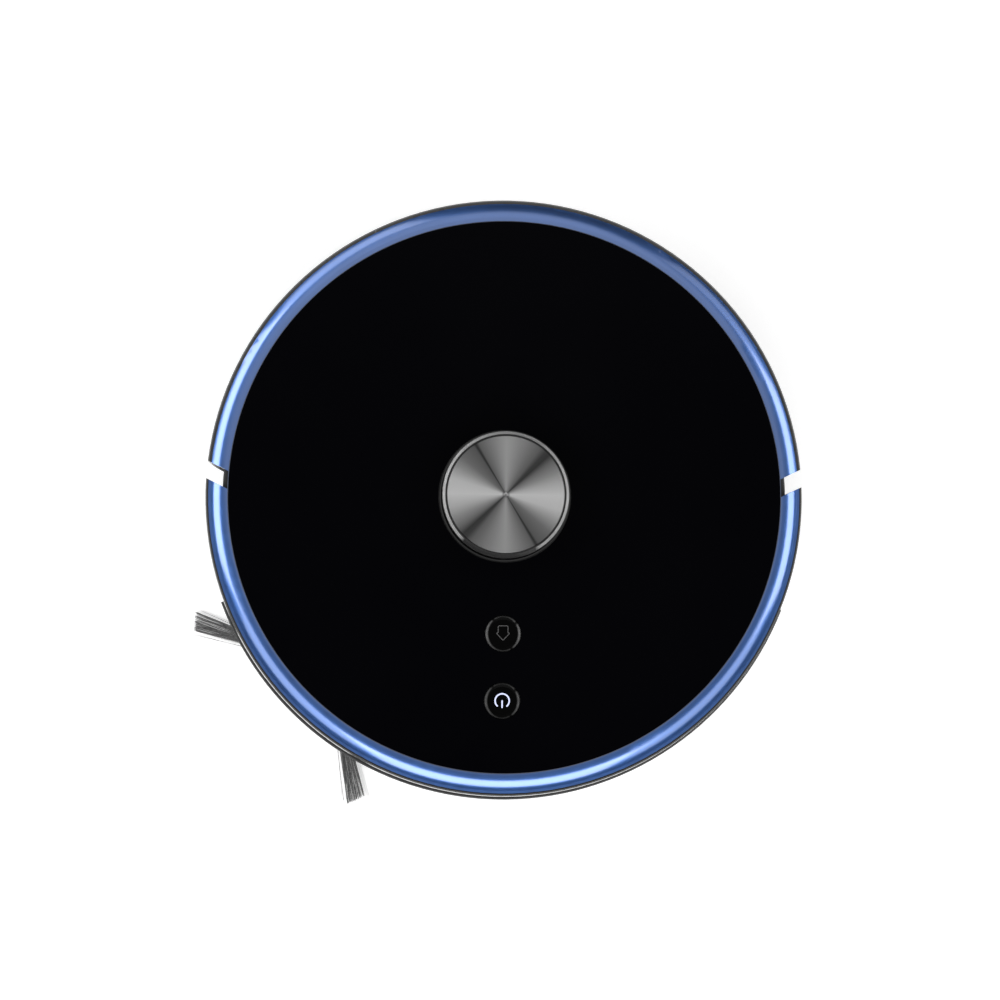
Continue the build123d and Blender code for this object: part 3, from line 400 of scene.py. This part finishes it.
def circuit_board():
    """Solder mask over copper runs, darkened in patches."""
    g = Graph("board_green", rough=0.4, Coat_Weight=0.3)
    runs = g.node("TexBrick", {
        "Vector": g.place(), "Scale": 260.0, "Mortar Size": 0.02, "Mortar": (0.03, 0.14, 0.06, 1),
        "Color1": (0.008, 0.06, 0.03, 1), "Color2": (0.010, 0.075, 0.035, 1),
    }).outputs["Color"]
    g.give("Base Color", g.mix(g.spread(g.noise(300.0), 0, 0.4), runs, (0.02, 0.02, 0.022, 1)))
    g.bump(g.noise(600.0), 0.1, 0.05 * MM)
    return g.material


def battery_wrap():
    g = Graph("battery_wrap", Coat_Weight=0.6, Coat_Roughness=0.15)
    g.give("Base Color", g.mix(g.spread(g.noise(25.0), 0, 1), (0.01, 0.05, 0.16, 1), (0.015, 0.065, 0.2, 1)))
    g.give("Roughness", g.spread(g.noise(90.0, 4.0), 0.22, 0.4))
    g.bump(g.noise(60.0, 4.0), 0.25, 0.3 * MM)
    return g.material


def filter_paper():
    g = Graph("filter_white", Sheen_Weight=0.3)
    fibres = g.noise(2600.0, 4.0, (1, 1, 0.2))
    g.give("Base Color", g.mix(g.spread(fibres, 0, 1), (0.62, 0.63, 0.60, 1), (0.82, 0.82, 0.79, 1)))
    g.give("Roughness", g.spread(fibres, 0.8, 0.95))
    g.bump(fibres, 0.3, 0.1 * MM)
    return g.material


def smoked_plastic():
    g = Graph("bin_smoke", Transmission_Weight=0.75, IOR=1.49)
    g.give("Base Color", g.mix(g.spread(g.noise(30.0), 0, 1), (0.20, 0.21, 0.23, 1), (0.26, 0.27, 0.29, 1)))
    g.give("Roughness", g.spread(g.noise(90.0, 4.0), 0.06, 0.14))
    return g.material


def lit_icon():
    """Backlit mark on the power button, its glow varying in small patches."""
    g = Graph("lit_icon", (0.3, 0.33, 0.5, 1), 0.5, Emission_Strength=0.75)
    glow = g.spread(g.noise(900.0), 0.0, 1.0)
    g.give("Emission Color", g.mix(glow, (0.66, 0.72, 1.0, 1), (0.80, 0.84, 1.0, 1)))
    return g.material


def printed_icon():
    g = Graph("printed_icon", rough=0.5)
    g.give("Base Color", g.mix(g.spread(g.noise(900.0), 0, 1), grey(0.055), grey(0.09)))
    return g.material


def floor_white():
    """Matt white that glows a little, and is clear from below."""
    g = Graph("floor_white", rough=0.9, Emission_Color=(1, 1, 1, 1), Emission_Strength=0.5)
    g.give("Base Color", g.mix(g.spread(g.noise(3.0), 0, 1), grey(0.80), grey(0.82)))
    back = g.node("NewGeometry").outputs["Backfacing"]
    clear = g.node("BsdfTransparent").outputs[0]
    both = g.node("MixShader", {0: back, 1: g.shader.outputs[0], 2: clear})
    g.feed(g.output.inputs[0], both.outputs[0])
    return g.material


def make_materials():
    return {
        "black_glass": black_glass(),
        "trim_blue": trim_blue(),
        "turned_metal": turned_metal(),
        "shell_black": gloss_black("shell_black", grey(0.012), 0.16),
        "button_black": gloss_black("button_black", grey(0.004), 0.14, 0.4, Specular_IOR_Level=0.3),
        # the last number is the grey of each button's painted rim highlight
        "home_plastic": button_plastic("home_plastic", -80 * MM, 0.14),
        "power_plastic": button_plastic("power_plastic", -119 * MM, 0.095),
        "cap_plastic": cap_plastic(),
        "rear_plastic": gloss_black("rear_plastic", grey(0.03), 0.3, 0.5),
        "window_smoke": gloss_black("window_smoke", (0.010, 0.003, 0.005, 1), 0.07, 0.8),
        "body_black": moulded("body_black", grey(0.020), 0.52, strength=0.3),
        "inner_plastic": moulded("inner_plastic", grey(0.035), 0.55),
        "grey_plastic": moulded("grey_plastic", grey(0.16), 0.48, strength=0.2),
        "strip_rubber": moulded("strip_rubber", grey(0.020), 0.62, grain=1500.0, strength=0.2),
        "tread_rubber": moulded("tread_rubber", grey(0.022), 0.78, 0.25, 1300.0, 0.4, 0.15 * MM),
        "belt_rubber": moulded("belt_rubber", grey(0.012), 0.6, grain=1500.0),
        "bristle_grey": fibre("bristle_grey", grey(0.085), grey(0.22), 0.5),
        "brush_fibre": fibre("brush_fibre", grey(0.03), grey(0.12), 0.5),
        "steel": metal("steel", grey(0.55), 0.28),
        "contact_metal": metal("contact_metal", (0.62, 0.60, 0.56, 1), 0.24, (1, 12, 1)),
        "board_green": circuit_board(),
        "battery_wrap": battery_wrap(),
        "bin_smoke": smoked_plastic(),
        "filter_white": filter_paper(),
        "lens_dark": gloss_black("lens_dark", (0.012, 0.006, 0.016, 1), 0.05, 1.0),
        "lit_icon": lit_icon(),
        "printed_icon": printed_icon(),
        "floor_white": floor_white(),
    }


# ---- mesh helpers ----------------------------------------------------------------------------------------

class Weave:
    """Collects tubes and sheets into one mesh."""

    def __init__(self):
        self.points = []
        self.faces = []

    def tube(self, path, radii, sides=6, flat=1.0, closed=False, up=Vector((0, 0, 1))):
        """Tube along a path. flat squashes its section along the up direction."""
        path = [Vector(p) for p in path]
        count = len(path)
        start = len(self.points)
        for i, point in enumerate(path):
            before = path[(i - 1) % count] if closed else path[max(i - 1, 0)]
            after = path[(i + 1) % count] if closed else path[min(i + 1, count - 1)]
            along = (after - before).normalized()
            side = along.cross(up).normalized()
            lift = side.cross(along)
            radius = radii[i] if isinstance(radii, (list, tuple)) else radii
            for k in range(sides):
                turn = 2 * math.pi * k / sides
                sideways = side * radius * math.cos(turn)
                self.points.append(point + sideways + lift * radius * flat * math.sin(turn))
        for i in range(count if closed else count - 1):
            a, b = start + i * sides, start + ((i + 1) % count) * sides
            for k in range(sides):
                n = (k + 1) % sides
                self.faces.append((a + k, a + n, b + n, b + k))
        if not closed:
            self.faces.append(tuple(start + k for k in reversed(range(sides))))
            self.faces.append(tuple(start + (count - 1) * sides + k for k in range(sides)))

    def strip(self, rows):
        """Closed thin band: each row is the section's corner points at one place along it."""
        start, sides = len(self.points), len(rows[0])
        for row in rows:
            self.points.extend(Vector(p) for p in row)
        for i in range(len(rows) - 1):
            a, b = start + i * sides, start + (i + 1) * sides
            for k in range(sides):
                n = (k + 1) % sides
                self.faces.append((a + k, a + n, b + n, b + k))
        self.faces.append(tuple(start + k for k in reversed(range(sides))))
        self.faces.append(tuple(start + (len(rows) - 1) * sides + k for k in range(sides)))

    def finish(self, name, material, body, slot, smooth=True):
        mesh = bpy.data.meshes.new(name)
        mesh.from_pydata([tuple(p) for p in self.points], [], self.faces)
        mesh.validate()
        mesh.update()
        piece = bpy.data.objects.new(name, mesh)
        bpy.context.scene.collection.objects.link(piece)
        mesh.materials.append(material)
        for face in mesh.polygons:
            face.use_smooth = smooth
        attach(piece, body)
        return piece


def polar(radius, angle, z):
    turn = math.radians(angle)
    return Vector((radius * math.cos(turn), radius * math.sin(turn), z))


def smooth_step(t):
    return t * t * (3 - 2 * t)


# ---- side brush ------------------------------------------------------------------------------------------

HUB = Vector((-102 * MM, -101 * MM, 0))
ARM_ANGLES = (162.0, 282.0, 42.0)
TUFT_START = 24.5 * MM
TUFT_REACH = (87.6 * MM, 83.0 * MM, 84.0 * MM)  # each tuft is worn to its own length
TUFT_BRISTLES = 120
STRAY_BRISTLES = (-1.3, -1.25, -1.38, 1.28, 1.45)  # lateral places, outside the fan
FAN_ROOT = 1.7 * MM
FAN_TIP = 5.7 * MM
ROOT_HEIGHT = 7.7 * MM
TIP_HEIGHT = 1.9 * MM


def bristle(weave, angle, dice, lateral, reach, lift, radius):
    """One bristle of a tuft. lateral runs from -1 to 1 across the fan, and lift from -1 to 1 up it."""
    turn = math.radians(angle)
    out = Vector((math.cos(turn), math.sin(turn), 0))
    across = Vector((-math.sin(turn), math.cos(turn), 0))
    wander = dice.uniform(-0.5, 0.5) * MM
    path, radii = [], []
    steps = 9
    for i in range(steps):
        t = i / (steps - 1)
        r = TUFT_START + (reach - TUFT_START) * t
        fan = FAN_ROOT * (1 - t) + FAN_TIP * t
        side = lateral * fan + wander * math.sin(math.pi * t)
        fall = smooth_step(t)
        height = (ROOT_HEIGHT + lift * 1.5 * MM) * (1 - fall) + (TIP_HEIGHT + lift * 0.9 * MM) * fall
        path.append(HUB + out * r + across * side + Vector((0, 0, height)))
        radii.append(radius * (1.0 - 0.45 * t))
    weave.tube(path, radii, sides=5)


def make_side_tufts(materials):
    dice = random.Random(11)
    weave = Weave()
    for angle, longest in zip(ARM_ANGLES, TUFT_REACH):
        for _ in range(TUFT_BRISTLES):
            lateral = dice.uniform(-1, 1)
            cut = longest - (1.6 + 1.4 * lateral) * MM
            reach = cut + dice.uniform(-1.3, 0.4) * MM
            lift = dice.uniform(-1, 1)
            bristle(weave, angle, dice, lateral, reach, lift, dice.uniform(0.13, 0.2) * MM)
        for lateral in STRAY_BRISTLES:
            reach = longest - dice.uniform(1.5, 5.0) * MM
            bristle(weave, angle, dice, lateral, reach, dice.uniform(-1, 1), 0.15 * MM)
    tufts = weave.finish("side_brush_bristles", materials["bristle_grey"], "side_brush", "bristle_grey")
    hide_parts("side_brush_tufts")


# ---- main brush ------------------------------------------------------------------------------------------

BRUSH_Y = 48 * MM
BRUSH_Z = 20.5 * MM
BRUSH_HALF = 77.5 * MM
CORE_R = 8.3 * MM
BLADE_R = 17.6 * MM
TIP_R = 18.8 * MM
CHEVRON = 42.0  # degrees that a row turns from the brush's middle to its end
ROW_BRISTLES = 190
BLADE_STEPS = 60


def on_brush(x, radius, angle):
    turn = math.radians(angle)
    return Vector((x, BRUSH_Y + radius * math.cos(turn), BRUSH_Z + radius * math.sin(turn)))


def make_main_brush(materials):
    """Three rows of bristles, with a rubber blade half way between each two."""
    dice = random.Random(23)
    rows, blades = Weave(), Weave()
    for k in range(3):
        row_angle = 120 * k + 15
        for i in range(ROW_BRISTLES):
            x = -BRUSH_HALF + 2 * BRUSH_HALF * (i + 0.5) / ROW_BRISTLES
            angle = row_angle + CHEVRON * abs(x) / BRUSH_HALF
            for _ in range(2):
                lean = dice.uniform(-3.5, 3.5)
                tip = TIP_R - dice.uniform(0, 0.8) * MM
                shift = dice.uniform(-0.4, 0.4) * MM
                path = [
                    on_brush(x, CORE_R, angle),
                    on_brush(x + shift * 0.4, (CORE_R + tip) / 2, angle + lean * 0.4),
                    on_brush(x + shift, tip, angle + lean),
                ]
                rows.tube(path, [0.22 * MM, 0.2 * MM, 0.13 * MM], sides=4, up=Vector((1, 0, 0)))
        blade_angle = row_angle + 60
        band = []
        for i in range(BLADE_STEPS + 1):
            x = -BRUSH_HALF + 2 * BRUSH_HALF * i / BLADE_STEPS
            angle = blade_angle + CHEVRON * abs(x) / BRUSH_HALF
            half = math.degrees(0.75 * MM / CORE_R)
            thin = math.degrees(0.5 * MM / BLADE_R)
            band.append([
                on_brush(x, CORE_R, angle - half * 1.5), on_brush(x, CORE_R + 2 * MM, angle - half),
                on_brush(x, BLADE_R, angle - thin), on_brush(x, BLADE_R, angle + thin),
                on_brush(x, CORE_R + 2 * MM, angle + half), on_brush(x, CORE_R, angle + half * 1.5),
            ])
        blades.strip(band)
    bristles = rows.finish("main_brush_rows", materials["brush_fibre"], "main_brush", "brush_fibre")
    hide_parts("main_brush_bristles")
    blades.finish("main_brush_blades", materials["strip_rubber"], "main_brush", "strip_rubber", smooth=False)


# ---- icons on the buttons --------------------------------------------------------------------------------

ICON_PROUD = 0.05 * MM
BUTTON_RIM = 0.5 * MM  # height of a button's rim over its flat face


def face_of(node):
    """Centre of a button's flat face."""
    low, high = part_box(node)
    return Vector(((low.x + high.x) / 2, (low.y + high.y) / 2, high.z - BUTTON_RIM))


def stroke(weave, centre, points, width, closed=False):
    """Raised line with rounded ends, through (x, y) points in millimetres."""
    path = [centre + Vector((x * MM, y * MM, ICON_PROUD * 0.3)) for x, y in points]
    radius = width / 2 * MM
    radii = [radius] * len(path)
    if not closed:
        along = (path[0] - path[1]).normalized()
        back = (path[-1] - path[-2]).normalized()
        caps = [(0.98, 0.2), (0.87, 0.5), (0.6, 0.8), (0.3, 0.95)]  # reach and width, in radii
        head = [path[0] + along * radius * a for a, _ in caps]
        tail = [path[-1] + back * radius * a for a, _ in caps]
        path = head + path + tail[::-1]
        radii = [radius * b for _, b in caps] + radii + [radius * b for _, b in caps[::-1]]
    weave.tube(path, radii, sides=10, flat=ICON_PROUD / radius, closed=closed)


def make_power_icon(materials):
    """Ring open towards the bumper, with a bar in the gap."""
    weave = Weave()
    centre = face_of("power_button")
    gap, radius, width = 44, 4.1, 0.85
    steps = 44
    arc = []
    for i in range(steps + 1):
        turn = math.radians(-90 + gap + (360 - 2 * gap) * i / steps)
        arc.append((radius * math.cos(turn), radius * math.sin(turn)))
    stroke(weave, centre, arc, width)
    stroke(weave, centre, [(0, 0.0), (0, -1.2), (0, -2.6), (0, -3.8)], width)
    weave.finish("power_icon", materials["lit_icon"], "power_button", "button_black")


def make_home_icon(materials):
    """Outline of a house, its ridge towards the bumper."""
    weave = Weave()
    centre = face_of("home_button")
    half, base, corner, steps = 2.85, 4.56, 0.75, 5
    outline = []
    for sign in (1, -1):
        cx, cy = half - corner, base - corner
        turns = [math.radians(90 * i / steps) for i in range(steps + 1)]
        if sign < 0:
            turns = turns[::-1]
        outline += [(sign * (cx + corner * math.cos(t)), cy + corner * math.sin(t)) for t in turns]
    left_eaves = [(-half, 2.2), (-half, 0.65), (-3.1, 0.45), (-3.55, 0.42), (-3.7, 0.15), (-3.5, -0.15)]
    ridge = [(-1.8, -1.95), (-0.4, -3.45), (0.0, -3.67), (0.4, -3.45), (1.8, -1.95)]
    right_eaves = [(-x, y) for x, y in left_eaves[::-1]]
    stroke(weave, centre, outline + left_eaves + ridge + right_eaves, 0.45, closed=True)
    weave.finish("home_icon", materials["printed_icon"], "home_button", "button_black")


# ---- small details ---------------------------------------------------------------------------------------

def make_exhaust_mesh(materials):
    """Woven guard behind the exhaust slots in the rear wall."""
    weave = Weave()
    radius, start, end = 167.6 * MM, 19.5, 50.5
    z0, z1 = 31.5 * MM, 56.5 * MM
    columns, rows = 62, 17
    wire, waviness = 0.22 * MM, 0.25 * MM
    for i in range(columns + 1):
        angle = start + (end - start) * i / columns
        path = []
        for j in range(2 * rows + 1):
            z = z0 + (z1 - z0) * j / (2 * rows)
            side = waviness * (1 if (i + j) % 2 else -1)
            path.append(polar(radius + side, angle, z))
        weave.tube(path, wire, sides=5, up=Vector((1, 0, 0)))
    for j in range(rows + 1):
        z = z0 + (z1 - z0) * j / rows
        path = [polar(radius, start + (end - start) * i / columns, z) for i in range(columns + 1)]
        weave.tube(path, wire, sides=5)
    weave.finish("exhaust_mesh", materials["inner_plastic"], "body", "inner_plastic")


def make_jack_pin(materials):
    """Centre contact inside the charging jack."""
    weave = Weave()
    angle, height = 139.0, 48 * MM
    radii = [0.9 * MM, 0.9 * MM, 0.75 * MM, 0.3 * MM]
    path = [polar(r * MM, angle, height) for r in (163.8, 170.4, 171.0, 171.3)]
    weave.tube(path, radii, sides=16)
    weave.finish("jack_pin", materials["steel"], "body", "contact_metal")


def make_guard_latches(materials):
    """Thumb tabs on the brush guard's ends."""
    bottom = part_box("brush_guard")[0].z
    top = bottom + 1.4 * MM
    length, half = 13 * MM, 1.9 * MM
    chamfer = 0.3 * MM
    steps = 8
    weave = Weave()
    for side in (1, -1):
        x = side * 88.2 * MM
        rows = []
        for k in range(steps + 1):
            y = BRUSH_Y - length / 2 + length * k / steps
            ridge = 0.25 * MM if k % 2 else 0.0
            z = bottom + 0.45 * MM - ridge
            rows.append([
                (x - half, y, z + 0.45 * MM), (x - half + chamfer, y, z), (x + half - chamfer, y, z),
                (x + half, y, z + 0.45 * MM), (x + half, y, top), (x - half, y, top),
            ])
        weave.strip(rows)
    weave.finish("guard_latches", materials["grey_plastic"], "brush_guard", "grey_plastic", smooth=False)


# ---- floor -----------------------------------------------------------------------------------------------

FLOOR_R = 3.6
WALL_BEND = 1.4  # radius of the curve between floor and wall
WALL_ARC = 72  # degrees
WALL_STEPS = 8


def make_floor(materials):
    """Pale floor, and a low wall that it curves up into. Glossy pieces don't mirror the wall."""
    flat = [(0.6, 0.0), (1.8, 0.0), (FLOOR_R, 0.0)]
    curved = []
    for i in range(WALL_STEPS + 1):
        turn = math.radians(WALL_ARC * i / WALL_STEPS)
        curved.append((FLOOR_R + WALL_BEND * math.sin(turn), WALL_BEND * (1 - math.cos(turn))))
    segments = 96
    for name, profile, closed in (("floor", flat, True), ("wall", curved, False)):
        points, faces = [], []
        for radius, z in profile:
            points += [tuple(polar(radius, 360 * k / segments, z)) for k in range(segments)]
        if closed:
            faces.append(tuple(range(segments)))
        for k in range(segments):
            n = (k + 1) % segments
            for row in range(len(profile) - 1):
                a, b = row * segments, (row + 1) * segments
                faces.append((a + k, b + k, b + n, a + n))
        mesh = bpy.data.meshes.new(name)
        mesh.from_pydata(points, [], faces)
        mesh.materials.append(materials["floor_white"])
        for face in mesh.polygons:
            face.use_smooth = not closed
        piece = bpy.data.objects.new(name, mesh)
        piece.visible_glossy = closed
        bpy.context.scene.collection.objects.link(piece)


# ---- scene -----------------------------------------------------------------------------------------------

OWN_MATERIAL = {  # nodes whose look differs from their slot's
    "turret_cap": "cap_plastic",
    "home_button": "home_plastic",
    "power_button": "power_plastic",
    "rear_shell": "rear_plastic",
    "dustbin_face": "rear_plastic",
}


def dress_nodes(materials):
    for name, node in frame["nodes"].items():
        node.data.materials.clear()
        node.data.materials.append(materials[OWN_MATERIAL.get(name, SLOT_OF[name])])


bpy.context.scene.view_settings.view_transform = "Standard"
make_camera()
make_world()
make_softboxes()
MATERIALS = make_materials()
make_floor(MATERIALS)
dress_nodes(MATERIALS)
make_side_tufts(MATERIALS)
make_main_brush(MATERIALS)
make_power_icon(MATERIALS)
make_home_icon(MATERIALS)
make_exhaust_mesh(MATERIALS)
make_jack_pin(MATERIALS)
make_guard_latches(MATERIALS)
